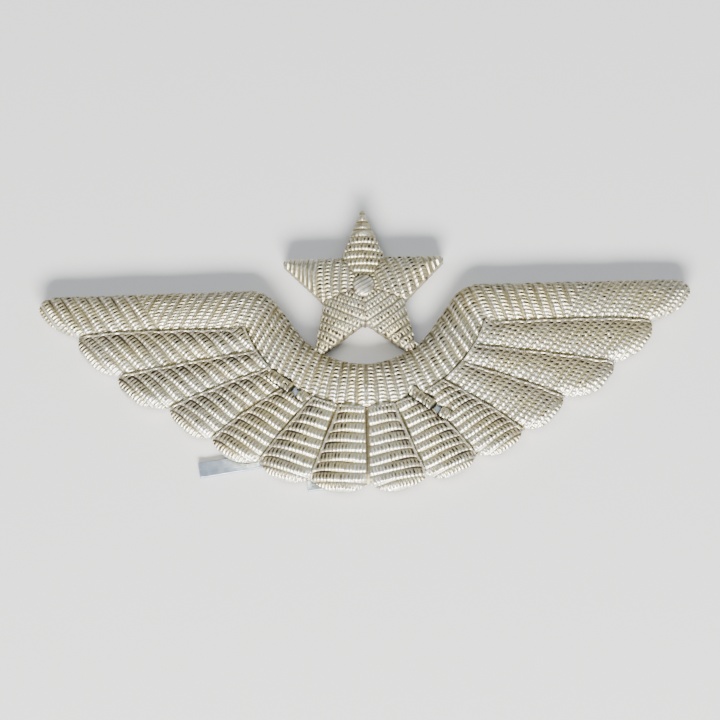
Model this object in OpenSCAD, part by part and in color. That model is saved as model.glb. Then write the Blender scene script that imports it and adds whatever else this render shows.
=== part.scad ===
// Winged-star cap badge: a hollow stamped shell held on by two folding prong strips.
// It lies on its back with its face up: +X to the right wing, +Y to the star, +Z out of the face.
// The origin is the middle of its footprint on the surface that it lies on.

/* [Badge] */
// Distance from wing tip to wing tip
span = 70; // [56:1:84]
// Thickness of the stamped sheet
sheet = 0.4; // [0.3:0.05:0.5]
// Height of the skirt, from the rim to the top of the flat sheet
skirt_h = 1.3; // [1.2:0.05:1.6]
// Height of the feathers above the flat sheet
feather_h = 0.45; // [0.2:0.05:0.8]
// Height of the band along the wings above the flat sheet
band_h = 0.55; // [0.2:0.05:0.8]
// Height of the star above the flat sheet
star_h = 0.65; // [0.3:0.05:1]
// Radius of the round boss in the middle of the star
boss_r = 1.2; // [0.8:0.05:1.3]
// Groove left between neighbouring feathers
groove_w = 0.36; // [0.2:0.02:0.5]

/* [Prongs] */
// Width of the prong strip
strip_w = 1.7; // [1.4:0.1:1.8]
// Thickness of the prong strip
strip_t = 0.4; // [0.3:0.05:0.4]
// Gap between the folded legs and the rim of the shell
rim_gap = 0.15; // [0.1:0.05:0.3]
// Running clearance at each bend
bend_gap = 0.05; // [0.04:0.01:0.06]
// Distance between the two bends of one strip
crown_l = 3.2; // [3:0.1:3.4]
// Width of the strip's neck, where it crosses the slot
neck_w = 0.7; // [0.6:0.05:0.9]

/* [Straps] */
// Length of the slot that each strap is lanced from
slot_l = 5; // [4.6:0.1:5.4]
// Width of the slot
slot_w = 1.4; // [1.3:0.05:1.5]
// Width of the strap
strap_w = 1.1; // [0.9:0.05:1.15]
// Thickness of the strap, thinned by the lancing
strap_t = 0.3; // [0.25:0.01:0.35]
// Direction of both slots
slot_angle = -37; // [-45:1:-30]

/* [Hidden] */
$fn = 48;

gilt = [0.78, 0.70, 0.50];
bare_metal = [0.76, 0.79, 0.83];

k = span / 70;  // every outline point below is for a span of 70
rim_z = strip_t + rim_gap;
sheet_z = rim_z + skirt_h;  // top of the flat sheet
under_z = sheet_z - sheet;  // its underside
strap_z = rim_z + 0.07;
crown_z = strap_z + strap_t;  // the crown lies on the strap

// Notches between the feathers along the edge, from the wing tip to the middle
notch = [[30.65, 2.4], [26.55, -2.1], [21.1, -5.75], [16.6, -9.2], [11.6, -11.8], [6.3, -14.05], [0, -14.65]] * k;
// Corner that each feather's rounded end leans into
end_corner = [[31.6, -0.95], [26.5, -6.15], [20.4, -9.6], [15.6, -12.9], [10.2, -15.4], [2.9, -17.2]] * k;
// Middle and inner end of the line between two feathers
line_mid = [[24.5, 2.8], [19.5, -0.9], [16, -3.65], [12.9, -6.45], [8.6, -8.2], [4.8, -10.4], [0, -10.5]] * k;
line_root = [[14.15, 2.7], [12, 0.2], [10.8, -1.85], [8.4, -3.6], [5.8, -5.2], [3, -5.95], [0, -6.3]] * k;

arch_centre = [0, 7.4] * k;
arch_r = 8.85 * k;  // upper edge of the band
band_centre = [0, 7.3] * k;
band_r = 13.6 * k;  // lower edge of the band
star_centre = [0, 7.1] * k;

// Centre of each crown and the plan of each leg, from its bend to its end
left_crown_at = [-7.65, -4.3];
right_crown_at = [7.45, -6.65];
fold_at = [-9.5, -11.15];
outer_leg_end = [-18.05, -12.4];
lower_leg_end = [-5.65, -14.95];
right_upper_leg_end = [17, 5.2];
right_outer_leg_end = [19.8, -6.5];

// ---- Plane geometry ----

function unit(v) = v / norm(v);
function turned(v, a) = [v.x * cos(a) - v.y * sin(a), v.x * sin(a) + v.y * cos(a)];
function mirrored(p) = [for (i = [len(p) - 1:-1:0]) [-p[i].x, p[i].y]];

// Points on an arc from angle a to angle b
function arc(c, r, a, b, n = 8) = [for (i = [0:n]) c + r * [cos(a + (b - a) * i / n), sin(a + (b - a) * i / n)]];

// A round stretch from a to b that leans into corner c
function bend(a, c, b, n = 10, pull = 0.6) =
    [for (i = [0:n]) let (t = i / n, p = a + pull * (c - a), q = b + pull * (c - b))
        pow(1 - t, 3) * a + 3 * pow(1 - t, 2) * t * p + 3 * (1 - t) * t * t * q + pow(t, 3) * b];

// The polygon p, anticlockwise, drawn in by d all round
function drawn_in(p, d) =
    [for (i = [0:len(p) - 1])
        let (
            before = unit(p[i] - p[(i + len(p) - 1) % len(p)]),
            after = unit(p[(i + 1) % len(p)] - p[i]),
            left_a = turned(before, 90),
            left_b = turned(after, 90)
        )
        p[i] + d * (left_a + left_b) / max(1 + left_a * left_b, 0.4)];

// ---- Outlines of the shell ----

// Upper edge of the right wing, from the bottom of the arch to the notch under the wing tip
wing_top = concat(
    arc(arch_centre, arch_r, -90, -34, 10),
    bend([9.3, 5.35] * k, [10.3, 6.95] * k, [12, 7.1] * k, 6),
    bend([33, 7] * k, [35.2, 6.9] * k, [35, 5.5] * k, 5),
    bend([34.85, 5.1] * k, [33.7, 2.9] * k, notch[0], 6)
);

// Rounded end of feather i, without its last point, which the next feather repeats
function feather_end(i) = [for (p = bend(notch[i], end_corner[i], notch[i + 1])) if (p != notch[i + 1]) p];

half_wing = concat(
    [for (p = wing_top) if (p != notch[0]) p],
    [for (i = [0:5]) each feather_end(i)]
);
// Clockwise round the right wing, then back along the left, so it is reversed to run anticlockwise
wing_outline = let (
    right = [for (p = half_wing) if (p.x > 0.001) p],
    whole = concat(right, [notch[6]], mirrored(right), [arch_centre - [0, arch_r]])
) [for (i = [len(whole) - 1:-1:0]) whole[i]];

// The star is a little uneven: its points clockwise from the top, reversed to run anticlockwise
star_points = [
    [-0.1, 16.6], [2.3, 10.44], [8.9, 10.4], [4.37, 5.5], [5.7, -1],
    [0.24, 3], [-5.27, -0.95], [-4.23, 5.4], [-9.1, 10], [-2.5, 10.4]
] * k;
star_outline = [for (i = [len(star_points) - 1:-1:0]) star_points[i]];

function feather_outline(i) = let (
    whole = concat([line_root[i], line_mid[i]], feather_end(i), [notch[i + 1], line_mid[i + 1], line_root[i + 1]])
) [for (j = [len(whole) - 1:-1:0]) whole[j]];

band_half = concat(
    [for (p = wing_top) if (p.x > 0.001) p],
    [line_mid[0], line_root[0]],
    [for (p = arc(band_centre, band_r, -22, -90, 10)) if (p.x > 0.001) p]
);
band_outline = let (
    whole = concat(band_half, [band_centre - [0, band_r]], mirrored(band_half), [arch_centre - [0, arch_r]])
) [for (i = [len(whole) - 1:-1:0]) whole[i]];

module slab(outline, low, high) {
    translate([0, 0, low])
        linear_extrude(high - low)
            polygon(outline);
}

// Rounds off the points of the star, which the outline leaves sharp
module star_reach(trim) {
    intersection() {
        children();
        translate([0, 0, rim_z - 1])
            linear_extrude(skirt_h + star_h + 2)
                union() {
                    translate(star_centre)
                        circle(r = 8.55 * k - trim, $fn = 96);
                    translate([-9.1 * k + trim, -2 * k])
                        square([18.2 * k - 2 * trim, 14 * k]);
                }
    }
}

// ---- Slots and straps ----

// Where the crown crosses the slot, measured from the middle of the slot
crown_s = 0.9;
// Stretch of the strap that lies flat behind the neck, and its two slopes
dip = [crown_s - neck_w / 2 - 0.15, crown_s + neck_w / 2 + 0.15];
slope = 0.8;
strap_top = sheet_z + feather_h - 0.15;  // the rest of the strap stays level with the pattern

module at_slot(crown_at) {
    translate([crown_at.x, crown_at.y, 0])
        rotate([0, 0, slot_angle])
            translate([-crown_s, 0, 0])
                children();
}

module slot_cut() {
    translate([-slot_l / 2, -slot_w / 2, under_z - 1])
        cube([slot_l, slot_w, 3]);
}

// The strap runs level with the sheet, dips behind the neck of the strip and comes back up
module strap() {
    translate([0, strap_w / 2, 0])
        rotate([90, 0, 0])
            linear_extrude(strap_w)
                polygon([
                    [-slot_l / 2 - 0.2, under_z],
                    [dip[0] - slope, under_z],
                    [dip[0] - 0.15, strap_z],
                    [dip[1] + 0.15, strap_z],
                    [dip[1] + slope, under_z],
                    [slot_l / 2 + 0.2, under_z],
                    [slot_l / 2 + 0.2, sheet_z],
                    [slot_l / 2 - 0.1, strap_top],
                    [dip[1] + slope, strap_top],
                    [dip[1], strap_z + strap_t],
                    [dip[0], strap_z + strap_t],
                    [dip[0] - slope, strap_top],
                    [-slot_l / 2 + 0.1, strap_top],
                    [-slot_l / 2 - 0.2, sheet_z]
                ]);
}

// ---- Sub-parts ----

module badge_shell() {
    color(gilt) {
        difference() {
            union() {
                slab(wing_outline, rim_z, sheet_z);
                slab(drawn_in(band_outline, groove_w / 2), sheet_z - 0.1, sheet_z + band_h);
                for (side = [0, 1]) {
                    mirror([side, 0, 0])
                        for (i = [0:5]) {
                            slab(drawn_in(feather_outline(i), groove_w / 2), sheet_z - 0.1, sheet_z + feather_h);
                        }
                }
                star_reach(0) {
                    slab(star_outline, rim_z, sheet_z + star_h - 0.2);
                }
                star_reach(0.4) {
                    slab(drawn_in(star_outline, 0.35), sheet_z, sheet_z + star_h);
                }
                boss();
            }
            slab(drawn_in(wing_outline, sheet), rim_z - 1, under_z);
            star_reach(0.8) {
                slab(drawn_in(star_outline, sheet), rim_z - 1, under_z);
            }
            at_slot(left_crown_at) slot_cut();
            at_slot(right_crown_at) slot_cut();
        }
        at_slot(left_crown_at) strap();
        at_slot(right_crown_at) strap();
    }
}

// A low dome on the star
module boss() {
    boss_rise = 0.4;
    ball_r = (boss_r * boss_r + boss_rise * boss_rise) / (2 * boss_rise);
    translate([star_centre.x, star_centre.y, sheet_z + star_h - 0.1 + boss_rise + 0.1 - ball_r])
        intersection() {
            sphere(r = ball_r);
            translate([0, 0, ball_r - boss_rise - 0.2])
                cylinder(r = boss_r, h = boss_rise + 1);
        }
}

// The part of a strip that crosses the slot, with both of its ends turned down
module prong_crown(crown_at) {
    color(bare_metal)
        translate([crown_at.x, crown_at.y, 0])
            rotate([0, 0, slot_angle]) {
                translate([0, 0, crown_z])
                    linear_extrude(strip_t)
                        for (side = [-1, 1]) {
                            scale([1, side])
                                polygon([
                                    [-neck_w / 2, -0.01],
                                    [-neck_w / 2, 0.85],
                                    [-strip_w / 2, 1.25],
                                    [-strip_w / 2, crown_l / 2 + strip_t / 2],
                                    [strip_w / 2, crown_l / 2 + strip_t / 2],
                                    [strip_w / 2, 1.25],
                                    [neck_w / 2, 0.85],
                                    [neck_w / 2, -0.01]
                                ]);
                        }
                for (side = [-1, 1]) {
                    translate([-strip_w / 2, side * crown_l / 2 - strip_t / 2, strip_t + bend_gap])
                        cube([strip_w, strip_t, crown_z - bend_gap]);
                }
            }
}

// Plan position of one bend; side -1 is the lower left one
function bend_at(crown_at, side) = crown_at + turned([0, side * crown_l / 2], slot_angle);

// A flat strip from a to b with a round edge at a; its ends are lifted to za and zb
module strip(a, b, za = 0, zb = 0) {
    run = norm(b - a);
    translate([a.x, a.y, za + strip_t / 2])
        rotate([0, 0, atan2(b.y - a.y, b.x - a.x)])
            rotate([0, -atan2(zb - za, run), 0]) {
                rotate([90, 0, 0])
                    cylinder(r = strip_t / 2, h = strip_w, center = true);
                translate([0, -strip_w / 2, -strip_t / 2])
                    cube([run, strip_w, strip_t]);
            }
}

module left_prong_crown() {
    prong_crown(left_crown_at);
}

// Runs down from its bend, then is folded over on the diagonal and out past the wing
module left_prong_outer_leg() {
    root = bend_at(left_crown_at, -1);
    lift = strip_t + bend_gap;
    first = unit(fold_at - root);
    second = unit(outer_leg_end - fold_at);
    crease = unit(first + second);  // direction of the fold, across the strip
    reach = strip_w / 2 / abs(first.x * crease.y - first.y * crease.x);
    color(bare_metal) {
        difference() {
            union() {
                strip(root, fold_at + first * strip_w, 0, lift * (1 + strip_w / norm(fold_at - root)));
                strip(fold_at - second * strip_w, outer_leg_end);
            }
            // Trims both runs back to the crease
            translate([fold_at.x, fold_at.y, -1])
                rotate([0, 0, atan2(crease.y, crease.x)])
                    translate([-3, 0, 0])
                        cube([6, 4, 4]);
        }
        // The crease itself
        translate([fold_at.x, fold_at.y, strip_t + bend_gap / 2])
            rotate([0, 0, atan2(crease.y, crease.x)])
                rotate([0, 90, 0])
                    cylinder(r = strip_t + bend_gap / 2, h = 2 * reach, center = true);
    }
}

module left_prong_lower_leg() {
    color(bare_metal) strip(bend_at(left_crown_at, 1), lower_leg_end);
}

module right_prong_crown() {
    prong_crown(right_crown_at);
}

module right_prong_upper_leg() {
    color(bare_metal) strip(bend_at(right_crown_at, 1), right_upper_leg_end);
}

module right_prong_outer_leg() {
    color(bare_metal) strip(bend_at(right_crown_at, -1), right_outer_leg_end);
}

badge_shell();
left_prong_crown();
left_prong_outer_leg();
left_prong_lower_leg();
right_prong_crown();
right_prong_upper_leg();
right_prong_outer_leg();
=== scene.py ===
"""Winged-star cap badge: the looks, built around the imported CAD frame.

Working units are millimetres until a mesh is made; Blender objects are in metres, in the frame of the CAD.
"""
import math

import bpy
import numpy as np
from mathutils import Matrix, Vector
from mathutils.geometry import delaunay_2d_cdt


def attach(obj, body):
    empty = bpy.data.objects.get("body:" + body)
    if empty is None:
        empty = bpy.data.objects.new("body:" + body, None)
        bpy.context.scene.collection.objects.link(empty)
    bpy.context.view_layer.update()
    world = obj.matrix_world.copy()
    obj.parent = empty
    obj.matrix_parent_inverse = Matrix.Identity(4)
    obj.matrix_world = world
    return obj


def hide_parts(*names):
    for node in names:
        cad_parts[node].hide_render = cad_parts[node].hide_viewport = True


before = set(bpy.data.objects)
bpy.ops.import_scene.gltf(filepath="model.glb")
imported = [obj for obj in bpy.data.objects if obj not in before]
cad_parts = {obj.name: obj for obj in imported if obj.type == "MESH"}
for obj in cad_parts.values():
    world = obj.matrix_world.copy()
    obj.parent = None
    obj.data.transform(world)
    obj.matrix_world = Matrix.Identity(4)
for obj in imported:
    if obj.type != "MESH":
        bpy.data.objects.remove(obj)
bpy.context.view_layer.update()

MM = 0.001

# ---------------------------------------------------------------- design sizes, as in the CAD, in mm

SHEET = 0.4
RIM_Z = 0.55
STRIP_W, STRIP_T = 1.7, 0.4
BEND_GAP = 0.05
STRAP_Z, STRAP_T, STRAP_W = 0.62, 0.3, 1.1
NECK_W = 0.7
CROWN_Z = STRAP_Z + STRAP_T
CROWN_L = 3.2
SLOT_L, SLOT_W, SLOT_ROUND = 5.0, 1.4, 0.2
SLOT_ANGLE = math.radians(-37)
CROWN_S = 0.9  # where the crown crosses its slot, along it from the slot's middle
CROWN_AT = {"left": (-7.65, -4.3), "right": (7.45, -6.65)}
FOLD_AT = (-9.5, -11.15)


def crown_end(side, way):
    """Where a leg begins: an end of its crown, which lies square to the slot, to the nearest micrometre."""
    cx, cy = CROWN_AT[side]
    half, turn = way * CROWN_L / 2, SLOT_ANGLE + math.pi / 2
    return round(cx + half * math.cos(turn), 3), round(cy + half * math.sin(turn), 3)


LEG_ROOT = {
    "left_outer": crown_end("left", -1),
    "left_lower": crown_end("left", 1),
    "right_upper": crown_end("right", 1),
    "right_outer": crown_end("right", -1),
}
LEG_END = {
    "left_outer": (-18.05, -12.4),
    "left_lower": (-5.65, -14.95),
    "right_upper": (17.0, 5.2),
    "right_outer": (19.8, -6.5),
}

# Outline of the right half, from the wing tip to the middle
NOTCH = [(30.65, 2.4), (26.55, -2.1), (21.1, -5.75), (16.6, -9.2), (11.6, -11.8), (6.3, -14.05), (0, -14.65)]
END_CORNER = [(31.6, -0.95), (26.5, -6.15), (20.4, -9.6), (15.6, -12.9), (10.2, -15.4), (2.9, -17.2)]
LINE_MID = [(24.5, 2.8), (19.5, -0.9), (16, -3.65), (12.9, -6.45), (8.6, -8.2), (4.8, -10.4), (0, -10.5)]
LINE_ROOT = [(14.15, 2.7), (12, 0.2), (10.8, -1.85), (8.4, -3.6), (5.8, -5.2), (3, -5.95), (0, -6.3)]
ARCH_CENTRE, ARCH_R = (0, 7.4), 8.85
BAND_CENTRE, BAND_R = (0, 7.3), 13.6
STAR_CENTRE = (0, 7.1)
# Corners of the star before its points are rounded off, so they lie beyond where the points end
STAR = np.array([
    (-0.1, 16.45), (2.3, 10.44), (9.15, 10.4), (4.37, 5.5), (5.7, -1.0),
    (0.24, 3.0), (-5.27, -0.95), (-4.23, 5.4), (-9.55, 9.98), (-2.5, 10.4),
])
STAR_ROUND = 0.38  # radius of the star's points
FILLET = 0.45  # where the star's legs run into the arch
BOSS_R = 1.18

# ---------------------------------------------------------------- plane geometry


def bend(a, c, b, n=16, pull=0.6):
    """A round stretch from a to b that leans into corner c."""
    a, b, c = (np.array(v, float) for v in (a, b, c))
    t = np.linspace(0, 1, n)[:, None]
    p, q = a + pull * (c - a), b + pull * (c - b)
    return (1 - t) ** 3 * a + 3 * (1 - t) ** 2 * t * p + 3 * (1 - t) * t * t * q + t**3 * b


def through(a, m, b, n=16):
    """A curve from a to b whose middle is m."""
    a, m, b = (np.array(v, float) for v in (a, m, b))
    t = np.linspace(0, 1, n)[:, None]
    return (1 - t) ** 2 * a + 2 * (1 - t) * t * (2 * m - (a + b) / 2) + t * t * b


def arc(centre, r, a, b, n):
    """Points on a circle, from a to b in degrees."""
    t = np.radians(np.linspace(a, b, n))
    return np.array(centre) + r * np.stack([np.cos(t), np.sin(t)], 1)


def mirrored(points):
    return np.array(points)[::-1] * [-1, 1]


def drawn_in(points, d):
    """A clockwise polygon drawn in by d all round."""
    p = np.array(points, float)
    before = p - np.roll(p, 1, 0)
    before /= np.linalg.norm(before, axis=1)[:, None]
    after = np.roll(before, -1, 0)
    na = np.stack([before[:, 1], -before[:, 0]], 1)
    nb = np.stack([after[:, 1], -after[:, 0]], 1)
    return p + d * (na + nb) / (1 + (na * nb).sum(1))[:, None]


def distance_to(x, y, points, closed=False):
    """Distance from each place to a run of straight pieces."""
    p = np.array(points, float)
    ends = np.roll(p, -1, 0) if closed else p[1:]
    best = np.full(x.shape, 1e9, np.float64)
    for a, b in zip(p, ends):
        dx, dy = b - a
        span = max(dx * dx + dy * dy, 1e-12)
        t = np.clip(((x - a[0]) * dx + (y - a[1]) * dy) / span, 0, 1)
        np.minimum(best, (x - a[0] - t * dx) ** 2 + (y - a[1] - t * dy) ** 2, out=best)
    return np.sqrt(best)


def inside(x, y, points):
    """Which places are inside a closed outline."""
    p = np.array(points, float)
    hit = np.zeros(x.shape, bool)
    for a, b in zip(p, np.roll(p, -1, 0)):
        if a[1] != b[1]:
            cross = (a[1] > y) != (b[1] > y)
            hit ^= cross & (x < (b[0] - a[0]) * (y - a[1]) / (b[1] - a[1]) + a[0])
    return hit


def signed(x, y, points):
    """Distance to a closed outline, negative inside."""
    return distance_to(x, y, points, True) * np.where(inside(x, y, points), -1, 1)


def step(lo, hi, v):
    """Rises smoothly from 0 at lo to 1 at hi, and falls if lo is the larger."""
    t = np.clip((v - lo) / (hi - lo), 0, 1)
    return t * t * (3 - 2 * t)


def chance(a, b=0.0, seed=0.0):
    """A repeatable number from 0 to 1 for each pair of whole numbers."""
    v = np.sin(a * 127.1 + b * 311.7 + seed * 74.7) * 43758.5453
    return v - np.floor(v)


# ---------------------------------------------------------------- outlines

WING_TOP = np.concatenate([
    arc(ARCH_CENTRE, ARCH_R, -90, -34, 30),
    bend((9.3, 5.35), (10.3, 6.95), (12, 7.1), 14),
    bend((33, 7), (35.2, 6.9), (35, 5.5), 14),
    bend((34.85, 5.1), (33.7, 2.9), NOTCH[0], 14),
])
FEATHER_ENDS = [bend(NOTCH[i], END_CORNER[i], NOTCH[i + 1], 20) for i in range(6)]
WING_HALF = np.concatenate([WING_TOP] + [e[1:] for e in FEATHER_ENDS])
WING = np.concatenate([WING_HALF, mirrored(WING_HALF)[1:-1]])
LINES = [through(LINE_ROOT[i], LINE_MID[i], NOTCH[i]) for i in range(7)]
BAND_EDGE = arc(BAND_CENTRE, BAND_R, -18.5, -90, 40)


def feather_outline(i):
    return np.concatenate([LINES[i], FEATHER_ENDS[i][1:], LINES[i + 1][::-1]])


# ---------------------------------------------------------------- stitch pattern

WINDING = 0.42  # pitch of the turns on the band and the star
H = 0.075  # spacing of the face's mesh
PIT_DEPTH, CRACK_DEPTH = 0.18, 0.04  # the holes between two turns, and the cracks between two rows


def rows_of(x, y, angle, pitch):
    """Place along the rows, and row count across them, for straight rows at an angle in degrees."""
    a = math.radians(angle)
    return x * math.cos(a) + y * math.sin(a), (y * math.cos(a) - x * math.sin(a)) / pitch


def stitches(s, rows, winding, height, seed, pits=1.0, slant=0.3, parted=1.0):
    """Padded rows wound with wire: their relief, its share of painted light from 0 for painted shade in a pit
    to 1 for a painted highlight on a crest, and their swell.

    s runs along a row; rows counts them across, each from its lower side up. winding is the pitch of the
    turns, pits is how deep the holes between two turns are, slant is how far a turn leans, and parted is how
    open the seams between the rows are.
    """
    rows = rows + 0.05 * np.sin(0.9 * s + 2.1 * np.floor(rows) + seed)
    row = np.floor(rows)
    phase = rows - row
    turns = s / winding + slant * (phase - 0.5) + chance(row, 0, seed) + 0.12 * np.sin(1.3 * s + row)
    off = np.abs(2 * (turns - np.floor(turns)) - 1)  # 0 on a turn's crest, 1 between two turns
    low = np.clip((phase - 0.06 * off * off) / 0.34, 0, 1)
    high = np.clip((1 - phase) / 0.42, 0, 1)
    pad = 1 - (1 - np.minimum(low, high)) ** 2
    between = np.round(turns)
    gap = np.exp(-(((1 - off) / (0.36 + 0.2 * chance(row, between, seed + 9))) ** 2))
    picked = 0.35 + 0.75 * chance(row, between, seed + 5) ** 1.8
    pit = gap * picked * np.exp(-(((phase - 0.6) / 0.2) ** 2))
    lively = 0.84 + 0.32 * chance(row, np.floor(turns), seed)
    sunk = 0.12 + 0.3 * chance(row, between, seed + 13)
    wound = pad * lively * (1 - (sunk + 0.36 * step(0.22, 0.5, phase)) * gap)
    seam = np.exp(-(((phase - 0.9) / 0.08) ** 2))
    crack = np.exp(-((np.minimum(phase, 1 - phase) / 0.06) ** 2))
    crack = crack * (0.5 + 0.5 * np.sin(0.8 * s + 2 * row) ** 2)
    relief = height * wound - PIT_DEPTH * pits * pit - CRACK_DEPTH * parted * crack
    # Painted highlight on the crests and along the lit lower side of each row, and painted shade in the
    # cracks and seams between the rows and in the pits between the turns
    painted_highlight = step(0.05, 0.14, phase) * step(0.42, 0.26, phase) * (2.4 * lively - 1.4) * (1 - 0.6 * gap)
    painted_light = 0.4 + 0.36 * wound + 0.3 * (0.5 + 0.5 * parted) * painted_highlight
    share = np.clip(painted_light - parted * (0.36 * crack + 0.08 * seam) - 0.95 * pits * pit, 0, 1)
    return relief, share, pad


# Row angle in degrees, row pitch and winding pitch of each feather, from the wing tip to the middle
FEATHER_ROWS = {
    "left": [
        (-50, 1.15, 0.4), (-46, 1.12, 0.4), (-42, 1.1, 0.4),
        (-35, 1.1, 0.39), (-19, 1.1, 0.39), (-4, 1.1, 0.38),
    ],
    "right": [
        (52, 0.62, 0.5), (52, 0.64, 0.5), (49, 0.7, 0.48),
        (33, 0.86, 0.42), (24, 0.98, 0.4), (12, 1.08, 0.39),
    ],
}
BASKET_PITCH = 0.8  # rows closer than this look woven: they are lower and hardly parted
ROW_HEIGHT = {"coarse": (0.26, 1.0), "basket": (0.2, 0.2)}  # height of the rows, and how open their seams are

# The band's rows cross a guide line, which runs from the middle along the band
GUIDE = np.concatenate([
    arc(ARCH_CENTRE, 11.3, -90, -22, 40),
    bend((10.6, 3.4), (11.4, 4.95), (13.4, 5.0), 10),
    [(35.5, 5.0)],
])
LEAN_AT = [0, 3, 6.5, 12, 16, 19, 40]  # distances along the guide, with the rows' lean in degrees there
LEAN = {"left": [90, 78, 64, 58, 58, 58, 58], "right": [90, 76, 60, 57, 62, 72, 72]}
BAND_PITCH = {"left": ([0, 5, 9, 40], [0.95, 0.95, 0.78, 0.78]), "right": ([0, 40], [1.02, 1.02])}
# Beyond this distance out the band's rows lean the other way: distance, row pitch, winding pitch and kind
TIP_ZONE = {"left": (23.2, 1.13, 0.4, "coarse"), "right": (22.6, 0.62, 0.48, "basket")}
TIP_ANGLE = 57  # lean of those rows in degrees


def along(points):
    """Distance along a run of points."""
    return np.concatenate([[0], np.cumsum(np.linalg.norm(np.diff(points, axis=0), axis=1))])


def band_rows(x, y, side):
    """Place along the rows and row count for the band, with x measured outwards from the middle."""
    u0 = along(GUIDE)
    u = np.linspace(0, u0[-1], 420)
    cx, cy = np.interp(u, u0, GUIDE[:, 0]), np.interp(u, u0, GUIDE[:, 1])
    lean = np.radians(np.interp(u, LEAN_AT, LEAN[side]))
    ex, ey = -np.cos(lean), np.sin(lean)
    tx, ty = np.gradient(cx, u), np.gradient(cy, u)
    pitch = np.interp(u, *BAND_PITCH[side])
    count = np.concatenate([[0], np.cumsum((np.abs(tx * ey - ty * ex) / pitch)[1:] * np.diff(u))])
    place = np.full(x.shape, u[-1])
    done = np.zeros(x.shape, bool)
    before = None
    for i in range(len(u)):
        f = (x - cx[i]) * ey[i] - (y - cy[i]) * ex[i]
        hit = (f <= 0) & ~done
        if before is None:
            place[hit] = 0
        else:
            crossing = u[i - 1] + (u[i] - u[i - 1]) * before / (before - f + 1e-12)
            place[hit] = crossing[hit]
        done |= hit
        before = f
    at_x, at_y, lean_x, lean_y = (np.interp(place, u, v) for v in (cx, cy, ex, ey))
    return (x - at_x) * lean_x + (y - at_y) * lean_y, np.interp(place, u, count)


# ---------------------------------------------------------------- relief of the face

# Height of each part's ground, and how far the part swells above it
BAND_Z, FEATHER_Z, WING_RISE = 1.8, 1.76, 0.42
STAR_Z, STAR_RISE, STAR_SLOPE = 1.98, 0.44, 2.6  # the star rises over this distance in from its outline
BOSS_Z, BOSS_RISE = 2.46, 0.4
LIP_AT, LIP_RISE, GROOVE_DEPTH, BRINK_DEPTH = 0.14, 0.17, 0.24, 0.08  # along the edges of the feathers

# For each arm of the star, clockwise from the top one: the direction across its rows in degrees, its row
# pitch, the direction of the crease on its left as seen from the middle, how far out the windings end and the
# rows are plain, and the pitch of those rows
STAR_ARMS = [
    (88, 0.82, 126, 5.75, 0.86),
    (25, 0.9, 54, 7.0, 0.6),
    (-58, 0.9, -18.5, 20.0, 0.9),
    (-110, 0.92, -90, 20.0, 0.9),
    (179, 0.88, -161.5, 5.3, 0.5),
]
# Dents in the star's face: place, half length and direction in degrees
DENTS = [
    (-2.95, 1.9, 0.32, -30), (-3.5, 1.1, 0.2, -30),
    (3.6, 1.95, 0.25, 35), (3.95, 1.35, 0.2, 40), (4.4, 0.95, 0.08, 0),
]
BOSS_WIRES = 0.42, math.radians(33)  # pitch and direction of the ripples on the boss
UNWOUND = 30.0  # a winding pitch so long that a row looks plain


def mixed(a, b, share):
    """Each field of a turned into the same field of b by the share."""
    return tuple(p * (1 - share) + q * share for p, q in zip(a, b))


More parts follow.
